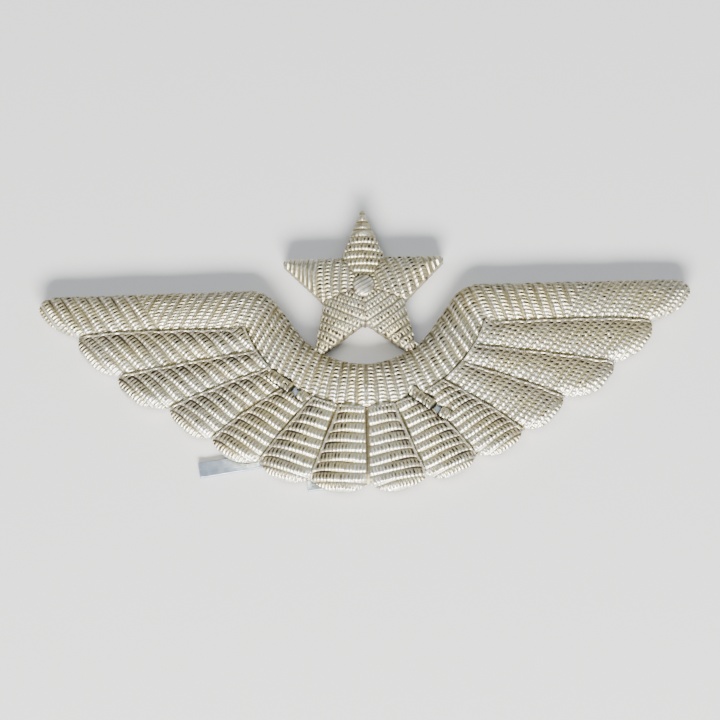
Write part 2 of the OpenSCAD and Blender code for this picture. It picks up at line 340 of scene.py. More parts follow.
def star_relief(x, y, depth):
    """Height, share of painted light, pad, and tarnish with painted shade of the star; depth is the distance
    in from its outline.
    """
    px, py = x - STAR_CENTRE[0], y - STAR_CENTRE[1]
    angle = np.degrees(np.arctan2(py, px))
    creases = [edge for _, _, edge, _, _ in STAR_ARMS]
    between = [(angle > after) & (angle <= before) for before, after in zip(creases, creases[1:])]
    arm = np.select(between, range(len(between)), len(between))
    relief, share, pad = (np.zeros(x.shape) for _ in range(3))
    crease = np.full(x.shape, 9.0)
    for i, (deg, pitch, edge, plain_from, plain_pitch) in enumerate(STAR_ARMS):
        here = arm == i
        a = math.radians(deg)
        out = (px * math.cos(a) + py * math.sin(a))[here]
        across = (py * math.cos(a) - px * math.sin(a))[here]
        out += 0.03 * across**2
        rows = np.minimum(out, plain_from) / pitch + np.clip(out - plain_from, 0, None) / plain_pitch + 0.15
        wound = stitches(across, rows, WINDING, 0.22, 31 + i, 0.8 + 0.1 * np.clip(out - 3, 0, 5), 0.0, 0.4)
        plain = stitches(across, rows, UNWOUND, 0.2, 61 + i, 0.0, 0.0, 0.8)
        found = mixed(wound, plain, step(plain_from - 0.3, plain_from + 0.3, out))
        relief[here], share[here], pad[here] = found
        a = math.radians(edge)
        near = np.abs(py * math.cos(a) - px * math.sin(a))
        crease = np.minimum(crease, np.where(px * math.cos(a) + py * math.sin(a) > 0.4, near, 9))
    valley = np.exp(-((crease / 0.12) ** 2))
    swell = STAR_RISE * (1 - (1 - np.clip(depth / STAR_SLOPE, 0, 1)) ** 2)
    z = STAR_Z + swell + relief * (1 - 0.4 * valley) - 0.06 * valley
    # Painted shade in the creases between the arms
    share = share * (1 - 0.3 * valley)
    r = np.hypot(px, py)
    pitch, a = BOSS_WIRES
    wires = (py * math.cos(a) - px * math.sin(a)) / pitch + 0.1 * np.sin(2.2 * px)
    wire = 1 - np.abs(2 * (wires - np.floor(wires)) - 1) ** 2
    dome = BOSS_Z + BOSS_RISE * np.sqrt(np.clip(1 - (r / (BOSS_R * 1.1)) ** 2, 0, 1)) + 0.07 * wire
    on_boss = step(BOSS_R + 0.04, BOSS_R - 0.08, r)
    # Painted highlight on the crests of the boss's wires
    z, share = mixed((z, share), (dome, 0.45 + 0.5 * wire), on_boss)
    ring = np.exp(-(((r - BOSS_R - 0.05) / 0.1) ** 2))
    # A crack runs up from the lower notch, and the legs are dented; both are painted dark as shade in their
    # hollows
    mark = np.exp(-(((x - 0.12 + 0.06 * np.sin(3 * y)) / 0.07) ** 2)) * step(4.5, 4.1, y) * step(2.6, 3.0, y)
    for cx, cy, half, deg in DENTS:
        a = math.radians(deg)
        along_it = np.clip((x - cx) * math.cos(a) + (y - cy) * math.sin(a), -half, half)
        off = np.hypot(x - cx - along_it * math.cos(a), y - cy - along_it * math.sin(a))
        mark = np.maximum(mark, np.exp(-((off / 0.13) ** 2)))
    # Painted shade in the ring round the boss, the crack and the dents; the brown adds painted shade round
    # the boss and in the creases to an even tone
    share = share * (1 - 0.2 * ring) * (1 - 0.9 * mark)
    return z - 0.06 * ring - 0.1 * mark, share, pad, 0.18 + 0.3 * ring + 0.3 * valley


def wing_relief(x, y, side, label, lines, edge, depth):
    """Height, share of painted light, pad, and tarnish with painted shade of one wing, with x measured
    outwards from the middle.
    """
    z, share, pad, tarnish_and_shade = (np.zeros(x.shape) for _ in range(4))
    # The band has rows of its own, another set at the tip, and falls away where the feathers lie over it
    here = label == 0
    found = stitches(*band_rows(x[here], y[here], side), WINDING, 0.26, 3, 1.0, 0.35, 0.7)
    tip_from, pitch, winding, kind = TIP_ZONE[side]
    height, parted = ROW_HEIGHT[kind]
    tip = stitches(*rows_of(x[here], y[here], TIP_ANGLE, pitch), winding, height, 4, 0.9, 0.3, parted)
    at_tip = step(tip_from - 0.05, tip_from + 0.05, x[here] - 0.65 * (y[here] - 5))
    relief, share[here], pad[here] = mixed(found, tip, at_tip)
    under = np.minimum(lines[0], edge)[here]
    fall = np.exp(-((under / 0.14) ** 2))
    over = np.clip(under / (under + depth[here] + 1e-6), 0, 1)
    dome = WING_RISE * (1 - np.abs(2 * over - 1) ** 2.2)
    z[here] = BAND_Z + dome + relief * (1 - 0.5 * fall) - 0.12 * fall
    # Painted highlight over the band's lower part, and painted shade over its upper part and where it runs
    # under the feathers
    share[here] = share[here] * (1 - 0.45 * fall) + 0.16 * step(0.5, 0.1, over) * (1 - fall)
    tarnish_and_shade[here] = 0.6 * np.exp(-((under / 0.12) ** 2)) + 0.35 * step(0.45, 0.9, over)
    # Each feather is high along its own line, where it has a plain lip, and runs under its neighbour's
    for i, (angle, pitch, winding) in enumerate(FEATHER_ROWS[side]):
        here = label == i + 1
        waver = 0.04 * np.sin(x[here] * 1.7 + i) + 0.03 * np.sin(x[here] * 3.9 + 2 * i)
        own, other = np.abs(lines[i][here] + waver), np.abs(lines[i + 1][here] + waver)
        across = own / (own + other + 1e-6)
        lip_at = np.minimum(own, edge[here] + 0.03)
        s, rows = rows_of(x[here], y[here], angle if side == "right" else -angle, pitch)
        rows = rows - rows[depth[here] > 0].min() + 0.04
        hook = 0.42 * np.exp(-own / 0.45) - 0.12 * np.exp(-other / 0.4)
        height, parted = ROW_HEIGHT["coarse" if pitch > BASKET_PITCH else "basket"]
        height = height * (0.55 + 0.5 * step(0.1, 0.5, across))
        found = stitches(s, rows + hook / pitch, winding, height, 11 + i, 1.15 - 0.4 * across, 0.25, parted)
        relief, row_share, pad[here] = found
        flat = step(0.18, 0.3, lip_at) * step(0.02, 0.16, other)
        lip = np.exp(-(((lip_at - LIP_AT) / 0.09) ** 2))
        groove = np.exp(-((other / 0.11) ** 2)) * (0.95 if side == "right" else 0.6 + 0.1 * i)
        brink = np.exp(-((lip_at / 0.05) ** 2))
        dome = WING_RISE * (1 - np.abs(2 * across - 0.8) ** 2.2 * 0.6)
        z[here] = (
            FEATHER_Z + dome + relief * flat + LIP_RISE * lip - GROOVE_DEPTH * groove - BRINK_DEPTH * brink
        )
        # Painted highlight towards each feather's lower side and on its lip, and painted shade towards its
        # own line, at the lip's brink and in the groove along its neighbour's line
        painted_light = 0.2 * step(0.45, 0.85, across) - 0.16 * step(0.5, 0.1, across)
        row_or_lip = (row_share + painted_light) * flat + 0.86 * (1 - flat)
        share[here] = row_or_lip * (1 - 0.85 * groove) * (1 - 0.2 * brink)
        painted_shade = 0.6 * np.exp(-((own - 0.3) / 0.3) ** 2) + 0.3 * step(0.45, 0.15, across)
        tarnish_and_shade[here] = painted_shade * step(0.22, 0.34, lip_at) + 0.4 * np.exp(-other / 0.1)
    return z, share, pad, tarnish_and_shade


# ---------------------------------------------------------------- the face on its grid


def slot_middle(side):
    """Middle of the slot that holds the strap over a prong."""
    cx, cy = CROWN_AT[side]
    return cx - CROWN_S * math.cos(SLOT_ANGLE), cy - CROWN_S * math.sin(SLOT_ANGLE)


def slot_distance(x, y, side):
    """Distance to the slot, negative inside it, with a ragged sheared edge."""
    cx, cy = slot_middle(side)
    c, s = math.cos(SLOT_ANGLE), math.sin(SLOT_ANGLE)
    u, v = (x - cx) * c + (y - cy) * s, -(x - cx) * s + (y - cy) * c
    ragged = 0.05 * np.sin(u * 4.1 + 1.0) + 0.03 * np.sin(u * 9.7)
    pinch = 0.4 * np.exp(-(((u - CROWN_S) / 0.45) ** 2))
    torn = 0.16 * np.exp(-(((u + 0.1) / 0.28) ** 2)) * (v > 0)
    closed_in = pinch - torn
    du = np.abs(u) - (SLOT_L / 2 - SLOT_ROUND)
    dv = np.abs(v + ragged) - (SLOT_W / 2 - SLOT_ROUND - closed_in)
    return np.hypot(np.maximum(du, 0), np.maximum(dv, 0)) + np.minimum(np.maximum(du, dv), 0) - SLOT_ROUND


def blurred(field, mask, sigma):
    """Gaussian blur that ignores what lies outside the mask."""
    ny, nx = field.shape
    ky = np.fft.fftfreq(ny)[:, None]
    kx = np.fft.rfftfreq(nx)[None, :]
    kernel = np.exp(-2 * (np.pi * sigma / H) ** 2 * (kx * kx + ky * ky))

    def smooth(v):
        return np.fft.irfft2(np.fft.rfft2(v) * kernel, s=v.shape)

    return smooth(np.where(mask, field, 0)) / np.maximum(smooth(mask.astype(float)), 1e-3)


def both_halves(left, right):
    """A field over the whole badge from its two halves, each given outwards from the middle."""
    return np.concatenate([left[:, :0:-1], right], 1)


HALF_WIDTH, HALF_HEIGHT = 35.4, 15.95  # the grid reaches a little past the badge
SCALLOP = 0.07  # how far the outline draws in between two rows
BACK_BLUR = 0.17  # how much of the pattern's detail the back loses
ROLL, ROLL_BELOW, ROLL_WIDTH = 0.34, 0.26, 1.15  # how far the edge rolls down, more so where it faces down
TURN_IN, TURN_FADE = 0.22, 0.8  # how far the skirt turns in at its rim, and how fast that fades with depth


class Face:
    """The badge's face as arrays over a grid that is pulled onto the outline."""

    def __init__(self):
        self.nx, self.ny = int(HALF_WIDTH / H), int(HALF_HEIGHT / H)
        gx, gy = np.meshgrid(np.arange(0, self.nx + 1) * H, np.arange(-self.ny, self.ny + 1) * H)
        wing = signed(gx, gy, WING)
        star = signed(gx, gy, drawn_in(STAR, STAR_ROUND)) - STAR_ROUND
        label = self.regions(gx, gy)
        lines = [distance_to(gx, gy, line) for line in LINES]
        edge = distance_to(gx, gy, BAND_EDGE)
        inwards = np.maximum(-wing, 0)
        sides = [wing_relief(gx, gy, side, label, lines, edge, inwards) for side in ("left", "right")]
        fields = [both_halves(left, right) for left, right in zip(*sides)]
        self.x, self.y = both_halves(-gx, gx), both_halves(gy, gy)
        wing, star = both_halves(wing, wing), both_halves(star, star)
        self.is_star = (star < wing) & (wing > 0)
        from_arch = ARCH_R - np.hypot(self.x - ARCH_CENTRE[0], self.y - ARCH_CENTRE[1])
        star_share = step(-0.12, 0.12, from_arch)
        fields = mixed(fields, star_relief(self.x, self.y, np.maximum(-star, 0)), star_share)
        z, share, pad, tarnish_and_shade = fields
        # The star runs into the arch with a small fillet, and the ends of the rows scallop the outline
        blend = np.clip(0.5 + 0.5 * (wing - star) / FILLET, 0, 1)
        outline = wing * (1 - blend) + star * blend - FILLET * blend * (1 - blend)
        outline += SCALLOP * (1 - pad) ** 2 * np.exp(-np.abs(outline) / 0.5)
        # Painted shade where the star's foot meets the arch
        foot = np.exp(-((from_arch / 0.16) ** 2))
        tarnish_and_shade = np.maximum(tarnish_and_shade, 0.9 * foot * (wing < 0.3) * (star < 0.2))
        self.slots = np.minimum(slot_distance(self.x, self.y, "left"), slot_distance(self.x, self.y, "right"))
        whole = np.maximum(outline, -self.slots)
        self.used = whole < 0.5 * H
        self.depth = np.maximum(-outline, 0)
        # Painted highlight along the edges that face down, towards the key light, and painted shade along
        # those that face up
        facing = np.clip(np.gradient(outline, H, axis=0), -1, 1) * (1 - star_share)
        self.share = np.clip(share - 0.45 * np.minimum(facing, 0) * np.exp(-self.depth / 0.8), 0, 1)
        self.tarnish_and_shade = np.maximum(tarnish_and_shade, 0.5 * np.maximum(facing, 0) * np.exp(-self.depth / 0.8))
        uneven = 0.03 * np.sin(self.x * 0.7 + 2 * np.sin(self.y * 0.45))
        uneven = uneven + 0.015 * np.sin(self.x * 1.9 - self.y * 1.1)
        roll = ROLL - ROLL_BELOW * np.minimum(facing, 0)
        self.pattern = z + uneven - roll * np.clip(1 - self.depth / ROLL_WIDTH, 0, 1) ** 2
        self.z = self.pattern - 0.1 * np.clip(1 - np.maximum(self.slots, 0) / 0.25, 0, 1) ** 2
        inner = blurred(self.z, self.used, BACK_BLUR) - SHEET
        self.back = RIM_Z + (np.maximum(inner, RIM_Z + 0.3) - RIM_Z) * step(0.55, 0.85, self.depth)
        self.pull(whole, step(0.05, 0.6, star))

    def regions(self, gx, gy):
        """0 on the band and 1 to 6 on the feathers of the right wing, from its tip."""
        label = np.zeros(gx.shape, int)
        for i in range(6):
            label[inside(gx, gy, feather_outline(i))] = i + 1
        band = inside(gx, gy, np.concatenate([WING_TOP, LINES[0][::-1], BAND_EDGE]))
        stray = ~band & (label == 0) & (gy < NOTCH[0][1] + 1)
        near = np.stack([distance_to(gx[stray], gy[stray], feather_outline(i), True) for i in range(6)])
        tip = distance_to(gx[stray], gy[stray], WING_TOP)
        label[stray] = np.where(tip < near.min(0), 0, np.argmin(near, 0) + 1)
        return label

    def pull(self, whole, off_star):
        """Moves the points closest to the edge onto it."""
        sy, sx = np.gradient(whole, H)
        size = np.maximum(np.hypot(sx, sy), 0.5)
        shift = np.where(np.abs(whole) < 0.5 * H, whole / size**2, 0)
        shift = np.where(np.abs(shift) > 0.7 * H, 0.7 * H * np.sign(shift), shift)
        sx[:, self.nx] = 0  # the middle column stays in the middle
        self.x = self.x - shift * sx
        self.y = self.y - shift * sy
        # The skirt of the wings turns in a little towards its rim
        turn_in = np.clip(TURN_IN - TURN_FADE * self.depth, 0, None) * off_star * (self.slots > 0.2) / size
        self.rim_x, self.rim_y = self.x - turn_in * sx, self.y - turn_in * sy

    def at(self, field, x, y):
        """The field at free places, between the grid's points."""
        u, v = x / H + self.nx, y / H + self.ny
        i, j = np.floor(v).astype(int), np.floor(u).astype(int)
        u, v = u - j, v - i
        low = field[i, j] * (1 - u) + field[i, j + 1] * u
        high = field[i + 1, j] * (1 - u) + field[i + 1, j + 1] * u
        return low * (1 - v) + high * v


def mesh_object(name, verts, faces):
    """A smooth object from arrays: verts in mm, faces a list of index arrays with one row for each face."""
    mesh = bpy.data.meshes.new(name)
    mesh.vertices.add(len(verts))
    mesh.vertices.foreach_set("co", (np.asarray(verts, np.float32) * MM).ravel())
    loops = np.concatenate([f.ravel() for f in faces])
    totals = np.concatenate([np.full(len(f), f.shape[1]) for f in faces])
    mesh.loops.add(len(loops))
    mesh.loops.foreach_set("vertex_index", loops.astype(np.int32))
    mesh.polygons.add(len(totals))
    mesh.polygons.foreach_set("loop_start", np.concatenate([[0], np.cumsum(totals)[:-1]]).astype(np.int32))
    mesh.polygons.foreach_set("loop_total", totals.astype(np.int32))
    mesh.update(calc_edges=True)
    mesh.validate()
    mesh.shade_smooth()
    obj = bpy.data.objects.new(name, mesh)
    bpy.context.scene.collection.objects.link(obj)
    return obj


def boundary_edges(faces, count):
    """Directed edges that only one face uses."""
    pairs = np.concatenate([np.stack([f.ravel(), np.roll(f, -1, 1).ravel()], 1) for f in faces])
    key = pairs[:, 0].astype(np.int64) * count + pairs[:, 1]
    back = pairs[:, 1].astype(np.int64) * count + pairs[:, 0]
    return pairs[~np.isin(key, back)]


def across_edge(triangles, edges, count):
    """Which triangles are in a hole: on the right of the edges, which have the sheet on their left."""
    key = triangles * count + np.roll(triangles, -1, 1)
    back_key = np.roll(triangles, -1, 1) * count + triangles
    wrong = edges[:, 1] * count + edges[:, 0]
    barrier = np.concatenate([wrong, edges[:, 0] * count + edges[:, 1]])
    order = np.argsort(key.ravel())
    slot = np.searchsorted(key.ravel()[order], back_key).clip(0, key.size - 1)
    neighbour = order[slot] // 3
    joined = (key.ravel()[order[slot]] == back_key) & ~np.isin(key, barrier)
    lost = np.isin(key, wrong).any(1)
    while True:
        grown = lost | (lost[neighbour] & joined).any(1)
        if (grown == lost).all():
            return lost
        lost = grown


def face_cells(face, chosen):
    """Quads of the chosen grid cells, and triangles where a cell has lost a corner, as grid points."""
    ny, nx = face.x.shape
    index = np.arange(ny * nx).reshape(ny, nx)
    corners = np.stack([index[:-1, :-1], index[:-1, 1:], index[1:, 1:], index[1:, :-1]], -1)[chosen]
    used = face.used.ravel()[corners]
    count = used.sum(1)
    three = corners[count == 3]
    gap = np.argmin(used[count == 3], 1)
    tris = np.stack([three[np.arange(len(three)), (gap + k) % 4] for k in (1, 2, 3)], 1)
    return corners[count == 4], tris


def back_points(face, ids, on_edge):
    """Which of a piece's points its back keeps: all on the edge, none close to it and few deep inside."""
    ny, nx = face.x.shape
    gi, gj = ids // nx, ids % nx
    depth = np.minimum(face.depth.ravel()[ids], np.abs(face.slots.ravel()[ids]) + 0.3)
    fine = (depth < 0.95) & (gi % 2 == 0) & (gj % 2 == 0) & (depth > 0.42)
    broad = (gi % 3 == 0) & (gj % 3 == 0) & (depth >= 0.95)
    close = np.zeros(ny * nx, bool)
    close[ids[on_edge]] = True
    close = close.reshape(ny, nx)
    grown = close.copy()
    for dy in (-1, 0, 1):
        for dx in (-1, 0, 1):
            grown |= np.roll(np.roll(close, dy, 0), dx, 1)
    return np.flatnonzero(on_edge | ((fine | broad) & ~grown.ravel()[ids]))


def back_sheet(name, flat, keep, edges):
    """Triangles between the kept points, what point of the piece each of theirs is, and the reverse."""
    at = np.full(len(flat), -1)
    at[keep] = np.arange(len(keep))
    plan = [Vector((float(x), float(y))) for x, y in flat[keep]]
    result = delaunay_2d_cdt(plan, [tuple(e) for e in at[edges].tolist()], [], 2, 1e-7)
    made, made_faces, origin = result[0], result[2], result[3]
    back_of = np.full(len(flat), -1)
    point_of = np.full(len(made), -1)
    for k, source in enumerate(origin):
        if source:
            point_of[k] = keep[source[0]]
            for one in source:
                back_of[keep[one]] = k
    if (point_of < 0).any():
        raise RuntimeError(f"{name}: the back's mesh made {int((point_of < 0).sum())} points of its own")
    back = np.array([f for f in made_faces if len(f) == 3])
    return back[~across_edge(back, back_of[edges], len(made))], point_of, back_of


def shell_piece(name, face, chosen):
    """A closed piece of the shell from the grid cells that chosen picks: face, back and walls."""
    quads, tris = face_cells(face, chosen)
    ids, inverse = np.unique(np.concatenate([quads.ravel(), tris.ravel()]), return_inverse=True)
    quads, tris = inverse[: quads.size].reshape(-1, 4), inverse[quads.size :].reshape(-1, 3)
    n = len(ids)
    flat = np.stack([face.x.ravel()[ids], face.y.ravel()[ids]], 1)
    top = np.column_stack([flat, face.z.ravel()[ids]])
    edges = boundary_edges([quads, tris], n)
    on_edge = np.zeros(n, bool)
    on_edge[edges] = True
    # The back is a coarser sheet that shares the face's edge
    back, point_of, back_of = back_sheet(name, flat, back_points(face, ids, on_edge), edges)
    source = ids[point_of]
    turned = on_edge[point_of]
    under = np.stack([
        np.where(turned, face.rim_x.ravel()[source], face.x.ravel()[source]),
        np.where(turned, face.rim_y.ravel()[source], face.y.ravel()[source]),
        face.back.ravel()[source],
    ], 1)
    a, b, c = under[back[:, 0], :2], under[back[:, 1], :2], under[back[:, 2], :2]
    turn = (b[:, 0] - a[:, 0]) * (c[:, 1] - a[:, 1]) - (b[:, 1] - a[:, 1]) * (c[:, 0] - a[:, 0])
    back = np.where((turn > 0)[:, None], back[:, ::-1], back) + n
    wall = np.stack([edges[:, 0], back_of[edges[:, 0]] + n, back_of[edges[:, 1]] + n, edges[:, 1]], 1)
    obj = mesh_object(name, np.concatenate([top, under]), [quads, tris, back, wall])
    # The sheet's edge round the star is painted dark as shade, setting it off from the floor, and its back is
    # even
    painted_shade = turned & face.is_star.ravel()[source]
    for label, field, behind, shaded_rim in (
        ("relief", face.share, 0.62, 0.2),
        ("tarnish_and_shade", face.tarnish_and_shade, 0.25, 0.6),
    ):
        paint(obj, label, np.concatenate([field.ravel()[ids], np.where(painted_shade, shaded_rim, behind)]))
    sharp_seams(obj, len(quads) + len(tris), len(quads) + len(tris) + len(back))
    return obj


def sharp_seams(obj, face_end, back_end):
    """Keeps the shading of the face, the back and the walls apart."""
    mesh = obj.data
    group = np.zeros(len(mesh.polygons), int)
    group[face_end:back_end] = 1
    group[back_end:] = 2
    totals = np.zeros(len(mesh.polygons), np.int32)
    mesh.polygons.foreach_get("loop_total", totals)
    edge_of = np.zeros(len(mesh.loops), np.int32)
    mesh.loops.foreach_get("edge_index", edge_of)
    owner = np.repeat(group, totals)
    low = np.full(len(mesh.edges), 9)
    high = np.full(len(mesh.edges), -1)
    np.minimum.at(low, edge_of, owner)
    np.maximum.at(high, edge_of, owner)
    sharp = mesh.attributes.new("sharp_edge", "BOOLEAN", "EDGE")
    sharp.data.foreach_set("value", low != high)


# ---------------------------------------------------------------- the straps over the prongs


def grid_solid(name, top, under):
    """A closed piece between two equal grids of points, each (rows, columns, 3), in mm."""
    m, n = top.shape[:2]
    index = np.arange(m * n).reshape(m, n)
    upper = np.stack([index[:-1, :-1], index[:-1, 1:], index[1:, 1:], index[1:, :-1]], -1).reshape(-1, 4)
    lower = upper[:, ::-1] + m * n
    ring = np.concatenate([index[0, :-1], index[:-1, -1], index[-1, :0:-1], index[:0:-1, 0]])
    after = np.roll(ring, -1)
    wall = np.stack([ring, ring + m * n, after + m * n, after], 1)
    return mesh_object(name, np.concatenate([top.reshape(-1, 3), under.reshape(-1, 3)]), [upper, lower, wall])


def strap(side, face):
    """The strap between the slot's cuts: level with the pattern, but dipping behind the neck of the prong."""
    cx, cy = slot_middle(side)
    c, s = math.cos(SLOT_ANGLE), math.sin(SLOT_ANGLE)
    u, v = np.meshgrid(np.linspace(-SLOT_L / 2 - 0.3, SLOT_L / 2 + 0.3, 110), np.linspace(-1, 1, 27))
    width = STRAP_W / 2 + 0.04 * np.sin(u * 3.3 + 0.6) + 0.03 * np.sin(u * 7.9)
    x, y = cx + u * c - v * width * s, cy + u * s + v * width * c
    dip = step(NECK_W / 2 + 0.18, NECK_W / 2 + 0.06, np.abs(u - CROWN_S))
    ends = step(SLOT_L / 2 + 0.1, SLOT_L / 2 - 0.15, np.abs(u))
    flat = face.at(blurred(face.pattern, face.used, 0.2), x, y)
    relief, share, _ = stitches(u, 0.5 + 0.45 * v, 0.44, 0.24, 71, 0.5, 0.5, 0.0)
    level = flat + relief - 0.16 - 0.25 * (1 - ends)
    thin = SHEET + (STRAP_T - SHEET) * dip
    top = level * (1 - dip) + CROWN_Z * dip
    below = np.minimum((flat - 0.1) * (1 - dip) + CROWN_Z * dip - thin, top - 0.05)
    obj = grid_solid(f"{side}_strap", np.stack([x, y, top], -1), np.stack([x, y, below], -1))
    # Painted shade where the strap dips under the crown and along its sides by the slot's cuts
    for label, field in (("relief", share * (1 - 0.3 * dip)), ("tarnish_and_shade", 0.2 + 0.3 * v**4)):
        paint(obj, label, np.concatenate([field.ravel(), np.full(field.size, 0.5)]))
    return obj


def paint(obj, name, values):
    """Keeps one number for each point of the mesh, for the material to read."""
    attribute = obj.data.attributes.new(name, "FLOAT", "POINT")
    attribute.data.foreach_set("value", np.asarray(values, np.float32))


# ---------------------------------------------------------------- the prongs


def strip_section():
    """Points round the strip's section as shares of its half width and half thickness, top first."""
    t = np.concatenate([[-1, -0.985, -0.95, -0.88], np.linspace(-0.78, 0.78, 13), [0.88, 0.95, 0.985, 1]])
    lift = np.concatenate([[0.35, 0.75, 0.93, 0.99], np.ones(13), [0.99, 0.93, 0.75, 0.35]])
    return t, lift


def ribbon(name, stations, place):
    """A closed strip whose stations are (distance, share of width, share of thickness).

    place turns a distance along the strip, one across it and a height into a place in mm.
    """
    t, lift = strip_section()
    s, wide, thick = (np.array(v)[:, None] for v in zip(*stations))
    v = t[None, :] * wide * STRIP_W / 2
    s = np.broadcast_to(s, v.shape)
    wavy = 0.012 * np.sin(s * 2.3 + v * 1.4) + 0.008 * np.sin(s * 5.1 - v * 3.7)
    w = lift[None, :] * thick * STRIP_T / 2
    upper = np.stack(place(s, v, w + wavy * thick), -1)
    lower = np.stack(place(s, v, -w + wavy * thick), -1)
    obj = grid_solid(name, upper[:, ::-1], lower[:, ::-1])
    along_attribute = obj.data.attributes.new("strip", "FLOAT_VECTOR", "POINT")
    on_top = np.stack([s, v, w], -1)[:, ::-1].reshape(-1, 3)
    on_strip = np.concatenate([on_top, on_top * [1, 1, -1]])
    along_attribute.data.foreach_set("vector", on_strip.astype(np.float32).ravel())
    return obj


def unit(a, b):
    """The direction from a to b."""
    d = np.array(b, float) - np.array(a, float)
    return d / np.linalg.norm(d)


def leg_stations(length, spacing=0.13):
    """Places along a leg: a round knuckle at the start and a sheared end."""
    start = [(-0.2 * math.cos(a), 1.0, max(math.sin(a), 0.05)) for a in np.radians([3, 14, 28, 45, 65])]
    body = [(s, 1.0, 1.0) for s in np.arange(0, length - 0.1, spacing)]
    end = [(length - 0.06, 0.99, 0.98), (length - 0.02, 0.975, 0.9), (length, 0.95, 0.6)]
    return start + body + end


def straight_leg(name, root, end):
    """A leg that lies flat from its root to its end, which is lifted a little."""
    d = unit(root, end)
    length = float(np.linalg.norm(np.array(end) - root))

    def place(s, v, w):
        tip = 0.05 * np.clip((s - length + 1.0) / 1.0, 0, 1) ** 2
        return root[0] + s * d[0] - v * d[1], root[1] + s * d[1] + v * d[0], STRIP_T / 2 + w + tip

    return ribbon(name, leg_stations(length), place)


def folded_leg(name, root, fold, end):
    """The outer left leg, which runs down, folds flat over a slanting crease and goes out to the left."""
    first, second = unit(root, fold), unit(fold, end)
    crease = (first + second) / np.linalg.norm(first + second)
    ahead = first - (first @ crease) * crease
    sine = float(np.linalg.norm(ahead))
    ahead = ahead / sine
    half = (STRIP_T + BEND_GAP) / 2
    shift = math.pi * half * abs(first @ crease) / sine * abs(crease @ [second[1], -second[0]])
    shift /= abs(first @ np.array([second[1], -second[0]]))
    at = np.array(fold) - shift * first
    start_length = float(np.linalg.norm(at - root))
    turned = at + crease * (first @ crease) * math.pi * half / sine
    length = start_length + math.pi * half / sine + float((np.array(end) - turned) @ second)
    bent_tip, tip_slope = 0.95, 0.13

    def place(s, v, w):
        px, py = root[0] + s * first[0] - v * first[1], root[1] + s * first[1] + v * first[0]
        q = (px - at[0]) * ahead[0] + (py - at[1]) * ahead[1]
        t = (px - at[0]) * crease[0] + (py - at[1]) * crease[1]
        turn = np.clip(q / half, 0, math.pi)
        out = np.where(q < 0, q, np.where(turn < math.pi, half * np.sin(turn), math.pi * half - q))
        out = out + w * np.sin(turn)
        high = STRIP_T / 2 + half * (1 + np.cos(turn)) + w * np.cos(turn)
        rise = step(0.3, start_length - 1.5, s)
        high = high - 2 * half * (1 - rise) * (q < half * 0.5)
        tip = np.clip((s - length + bent_tip) / 0.12, 0, 1) * np.clip(s - length + bent_tip, 0, None)
        return (
            at[0] + out * ahead[0] + t * crease[0],
            at[1] + out * ahead[1] + t * crease[1],
            np.maximum(high, 0.002) + tip_slope * tip,
        )

    return ribbon(name, leg_stations(length), place)


def crown(side, first_root, second_root):
    """The middle of a prong, which crosses over the strap and turns down at both ends."""
    d = unit(first_root, second_root)
    cx, cy = CROWN_AT[side]
    corner = 0.3
    top = CROWN_Z + STRIP_T / 2
    flat = CROWN_L / 2 - corner
    drop = top - corner - 0.42
    quarter = corner * math.pi / 2
    reach = flat + quarter + drop

    def place(s, v, w):
        beyond = np.abs(s) - flat
        turn = np.clip(beyond / corner, 0, math.pi / 2)
        straight = np.clip(beyond - quarter, 0, None)
        out = np.minimum(np.abs(s), flat) + corner * np.sin(turn) + w * np.sin(turn)
        out = out * np.sign(s)
        high = top - corner * (1 - np.cos(turn)) - straight + w * np.cos(turn)
        return cx + out * d[0] - v * d[1], cy + out * d[1] + v * d[0], high

    def share(s):
        neck = NECK_W / STRIP_W
        return neck + (1 - neck) * float(step(0.85, 1.25, abs(s)))

    body = [(s, share(s), 1.0) for s in np.linspace(-reach, reach, 80)]
    return ribbon(f"{side}_prong_crown_strip", body, place)


# ---------------------------------------------------------------- materials


